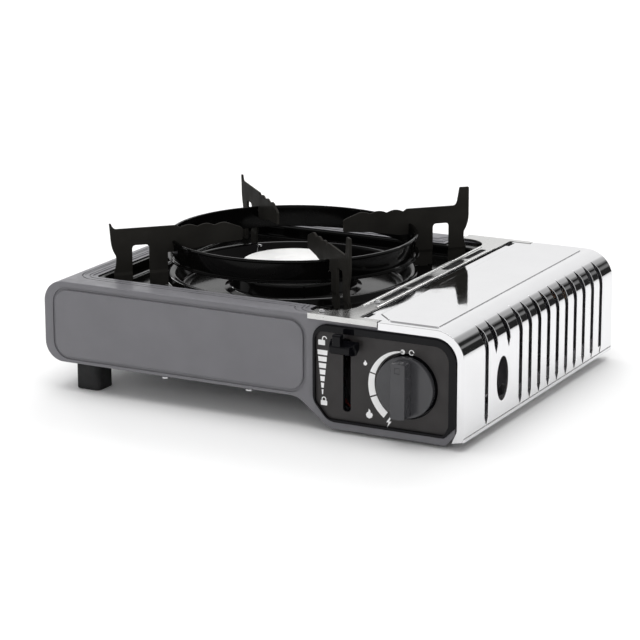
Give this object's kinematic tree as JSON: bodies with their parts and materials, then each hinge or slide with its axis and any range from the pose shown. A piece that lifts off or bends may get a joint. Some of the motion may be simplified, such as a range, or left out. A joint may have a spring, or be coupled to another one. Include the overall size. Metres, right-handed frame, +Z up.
{
  "type": "portable camping stove",
  "caption": "Portable tabletop gas cooking stove: square drip pan with a ringed pan support on the left, control panel and hinged cartridge cover on the right.",
  "frame": {"origin": "on the surface the stove stands on, under the middle of its bounding box", "axes": "+X to the right towards the cartridge lid, +Y to the rear away from the control panel, +Z up"},
  "size_m": [0.34, 0.285, 0.131],
  "materials": {
    "grey_paint": "satin hammered grey",
    "black_enamel": "gloss enamel",
    "chrome": "mirror",
    "aluminium": "cast satin",
    "zinc_steel": "zinc plated",
    "steel": "bright",
    "brass": "turned",
    "copper": "drawn copper",
    "black_plastic": "gloss",
    "panel_plastic": "satin face with a gloss border",
    "knob_plastic": "satin",
    "rubber": "matt",
    "ceramic": "glazed ceramic",
    "lead_red": "silicone sleeve"
  },
  "bodies": {
    "stove_body": {"body_shell": "grey_paint", "base_plate": "grey_paint", "base_screw_front_left": "steel", "base_screw_front_right": "steel", "foot_front_left": "black_plastic", "foot_rear_left": "black_plastic", "tray_pad_front": "rubber", "tray_pad_rear": "rubber", "drip_pan": "black_enamel", "trim_frame": "chrome", "trim_rivet_front": "steel", "trim_rivet_middle": "steel", "burner_cap": "aluminium", "burner_body": "aluminium", "mixer_tube": "aluminium", "jet_nozzle": "brass", "burner_bracket": "zinc_steel", "heat_shield": "zinc_steel", "heat_conductor": "copper", "cartridge_saddle_front": "zinc_steel", "cartridge_saddle_rear": "zinc_steel", "retaining_spring": "steel", "control_panel": "panel_plastic", "regulator_bracket": "zinc_steel", "regulator_body": "zinc_steel", "regulator_screw_left": "steel", "regulator_screw_right": "steel", "diaphragm_cover": "zinc_steel", "cartridge_collar": "brass", "cartridge_seal": "rubber", "gas_tube": "copper", "igniter_body": "ceramic", "electrode_insulator": "ceramic", "electrode_pin": "steel", "electrode_clip": "zinc_steel", "ignition_lead": "lead_red", "lever_pivot_pin": "steel", "lever_bracket": "zinc_steel", "guide_rod_left": "steel", "guide_rod_right": "steel", "hinge_bracket_front": "zinc_steel", "hinge_bracket_rear": "zinc_steel", "hinge_pin_front": "steel", "hinge_pin_rear": "steel"},
    "cartridge_lid": {"lid": "chrome", "lid_lug_front": "zinc_steel", "lid_lug_rear": "zinc_steel"},
    "knob": {"control_knob": "knob_plastic", "valve_stem": "brass", "ignition_cam": "knob_plastic"},
    "plunger": {"igniter_plunger": "black_plastic"},
    "lever": {"lock_lever": "zinc_steel", "lever_tab": "black_plastic"},
    "fork": {"cartridge_fork": "zinc_steel"},
    "pan_support": {"support_ring": "black_enamel", "support_arm_front_right": "black_enamel", "support_arm_rear_right": "black_enamel", "support_arm_rear_left": "black_enamel", "support_arm_front_left": "black_enamel"}
  },
  "joints": [
    {"name": "lid_hinge", "type": "hinge", "parent": "stove_body", "child": "cartridge_lid", "pos_m": [0.0915, 0.0075, 0.0805], "axis": [0, -1, 0], "range_deg": [0, 95]},
    {"name": "knob_turn", "type": "hinge", "parent": "stove_body", "child": "knob", "pos_m": [0.1264, -0.1325, 0.041], "axis": [0, -1, 0], "range_deg": [0, 150]},
    {"name": "igniter_press", "type": "slide", "parent": "stove_body", "child": "plunger", "axis": [0, 0, -1], "range_m": [0, 0.005]},
    {"name": "lever_press", "type": "hinge", "parent": "stove_body", "child": "lever", "pos_m": [0.0799, -0.0675, 0.043], "axis": [1, 0, 0], "range_deg": [0, 41]},
    {"name": "fork_slide", "type": "slide", "parent": "stove_body", "child": "fork", "axis": [0, -1, 0], "range_m": [0, 0.0084]},
    {"name": "pan_support_lift", "type": "slide", "parent": "stove_body", "child": "pan_support", "axis": [0, 0, 1], "range_m": [0, 0.1]}
  ],
  "couplings": [
    {"joint": "igniter_press", "follows": "knob_turn", "m_per_rad": 0.0019},
    {"joint": "fork_slide", "follows": "lever_press", "m_per_rad": 0.01173}
  ]
}
